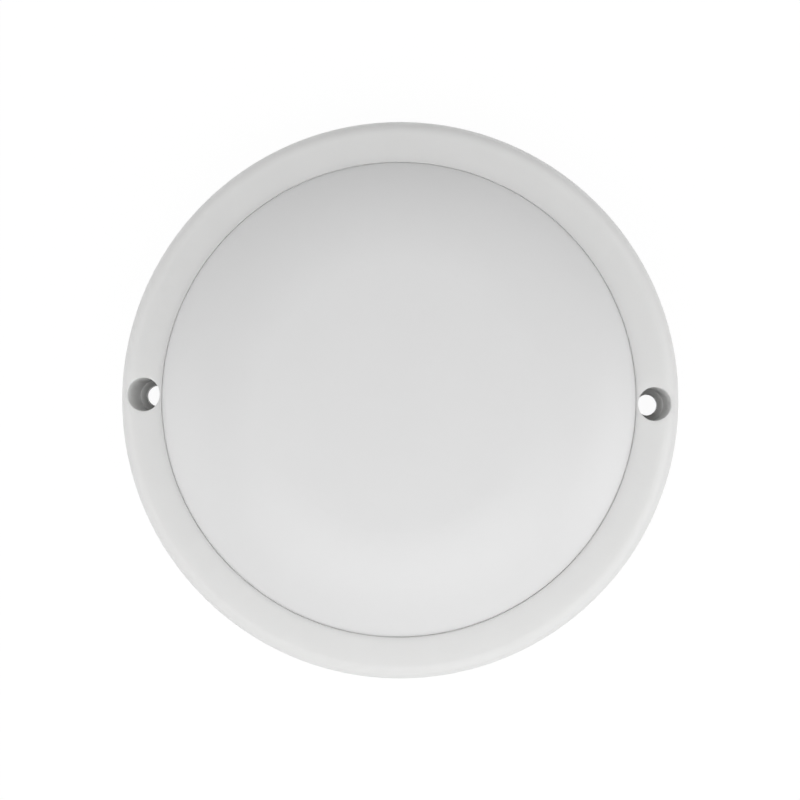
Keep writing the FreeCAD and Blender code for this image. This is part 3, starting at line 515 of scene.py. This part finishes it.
# --- Capacitor bung -------------------------------------------------------------------------------
# The can is closed by a grey rubber bung that the rolled edge of the can grips. Both legs pass it.
bung_r = 3.1 * MM
bung_proud = 0.12 * MM         # it stands out of the can by this, and reaches in as far
can_end = 5.5 * MM
bpy.ops.object.select_all(action="DESELECT")
bpy.ops.mesh.primitive_cylinder_add(vertices=48, radius=bung_r, depth=2 * bung_proud)
bung = start_piece("capacitor_bung")
bpy.ops.object.modifier_add(type="BEVEL")
bung.modifiers["Bevel"].width = 0.08 * MM
bung.modifiers["Bevel"].segments = 2
bpy.ops.object.modifier_apply(modifier="Bevel")
bpy.ops.object.shade_smooth_by_angle(angle=math.radians(50))
bung.data.transform(Matrix.Rotation(capacitor_angle, 4, "Z")
                    @ Matrix.Translation((part_ring_r, can_end, capacitor_axis))
                    @ Matrix.Rotation(math.radians(90), 4, "X"))
butyl, place = new_material("butyl_rubber")
tint, cloud = drift(butyl, place, 1.2 * MM, "#3A3B3D", "#4A4B4C")
shader = add_node(butyl, "ShaderNodeBsdfPrincipled",
                  {"Base Color": tint, "Roughness": spread(butyl, cloud, 0.60, 0.75), "IOR": 1.52,
                   "Normal": texture(butyl, place, 0.25 * MM, 0.01 * MM)})
put_on(butyl, shader, bung)
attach(bung, "housing")

# --- Diffuser -------------------------------------------------------------------------------------
# The diffuser is moulded in opal polycarbonate, a clear plastic full of fine white powder. Light
# enters it and spreads for a few millimetres, so its shading is soft. Its skin is satin, with the
# faint long waves of a large moulding.
opal_cloud = 35 * MM
opal_wave = 6 * MM
opal_pc, place = new_material("opal_polycarbonate")
tint, cloud = drift(opal_pc, place, opal_cloud, "#E9E9E9", "#ECECEC")
shader = add_node(opal_pc, "ShaderNodeBsdfPrincipled",
                  {"Base Color": tint, "Roughness": spread(opal_pc, cloud, 0.36, 0.42), "IOR": 1.58,
                   "Subsurface Weight": 0.85, "Subsurface Radius": (1.0, 1.0, 1.0),
                   "Subsurface Scale": 2.5 * MM, "Normal": texture(opal_pc, place, opal_wave, 0.01 * MM)})
put_on(opal_pc, shader, "diffuser")

# --- Floor, light and camera ----------------------------------------------------------------------
# The light lies on its back on a white table, and the camera looks down on its front from half a
# metre, a little right of its middle and below it, so the far walls of the screw wells show.
bpy.ops.object.select_all(action="DESELECT")
bpy.ops.mesh.primitive_plane_add(size=8.0, location=(0, 0, 0))
floor = bpy.context.object
floor.name = "floor"

# Seen by the camera the table glows white, as in the photo. What it throws onto the light is paper's.
table_glow = 0.94              # share of the glow in what the camera sees
glow_strength = 1.02
white_table, place = new_material("white_table")
rays = add_node(white_table, "ShaderNodeLightPath")
seen = add_node(white_table, "ShaderNodeMath",
                {0: rays.outputs["Is Camera Ray"], 1: rays.outputs["Is Glossy Ray"]}, operation="MAXIMUM")
seen = add_node(white_table, "ShaderNodeMath",
                {0: seen.outputs[0], 1: rays.outputs["Is Transmission Ray"]}, operation="MAXIMUM")
share = add_node(white_table, "ShaderNodeMath", {0: seen.outputs[0], 1: table_glow}, operation="MULTIPLY")
paper = add_node(white_table, "ShaderNodeBsdfDiffuse", {"Color": linear("#F2F2F2")})
glow = add_node(white_table, "ShaderNodeEmission", {"Color": linear("#FFFFFF"), "Strength": glow_strength})
shader = add_node(white_table, "ShaderNodeMixShader",
                  {0: share.outputs[0], 1: paper.outputs[0], 2: glow.outputs[0]})
add_node(white_table, "ShaderNodeOutputMaterial", {"Surface": shader.outputs[0]})
floor.data.materials.append(white_table)

scene = bpy.context.scene
scene.view_settings.view_transform = "Standard"

studio = bpy.data.worlds.new("soft_studio")
scene.world = studio
studio.use_nodes = True
studio.node_tree.nodes.clear()
ambient_level = 0.45
rays = add_node(studio, "ShaderNodeLightPath")
seen = add_node(studio, "ShaderNodeMath",
                {0: rays.outputs["Is Camera Ray"], 1: rays.outputs["Is Transmission Ray"]},
                operation="MAXIMUM")
level = add_node(studio, "ShaderNodeMapRange",
                 {"Value": seen.outputs[0], "To Min": ambient_level, "To Max": 1.0})
sky = add_node(studio, "ShaderNodeBackground",
               {"Color": linear("#FFFFFF"), "Strength": level.outputs["Result"]})
add_node(studio, "ShaderNodeOutputWorld", {"Surface": sky.outputs[0]})

# name, place, width and height of the sheet in metres, power in watts
softboxes = (("right_softbox", (1.06, -0.28, 0.36), 0.8, 0.6, 2.3),
             ("left_softbox", (-1.08, -0.19, 0.36), 0.8, 0.6, 1.5),
             ("lower_softbox", (0.0, -0.70, 1.21), 2.0, 1.2, 9.6),
             ("top_softbox", (-0.03, -0.24, 1.38), 1.2, 0.9, 0.9),
             ("back_softbox", (0.74, 0.42, 0.85), 0.8, 0.6, 0.4))
for name, spot, width, height, power in softboxes:
    lamp = bpy.data.lights.new(name, "AREA")
    lamp.shape = "RECTANGLE"
    lamp.size = width
    lamp.size_y = height
    lamp.energy = power
    sheet = bpy.data.objects.new(name, lamp)
    sheet.location = spot
    sheet.rotation_euler = (-Vector(spot)).to_track_quat("-Z", "Y").to_euler()
    sheet.visible_camera = False
    scene.collection.objects.link(sheet)

# The roll follows the line through the two screw wells, which the photo shows turned by about a degree.
camera_place = Vector((18.00, -8.11, 533.0)) * MM
camera_aim = Vector((0.25, -0.09, 16.0)) * MM
camera_roll = math.radians(1.075)
lens = bpy.data.cameras.new("camera")
lens.sensor_width = 36.0
lens.lens = 83.6
camera = bpy.data.objects.new("camera", lens)
back = (camera_place - camera_aim).normalized()
right = Vector((math.cos(camera_roll), math.sin(camera_roll), 0.0))
right = (right - back * right.dot(back)).normalized()
up = back.cross(right)
turn = Matrix((right, up, back)).transposed()
camera.matrix_world = Matrix.Translation(camera_place) @ turn.to_4x4()
scene.collection.objects.link(camera)
scene.camera = camera
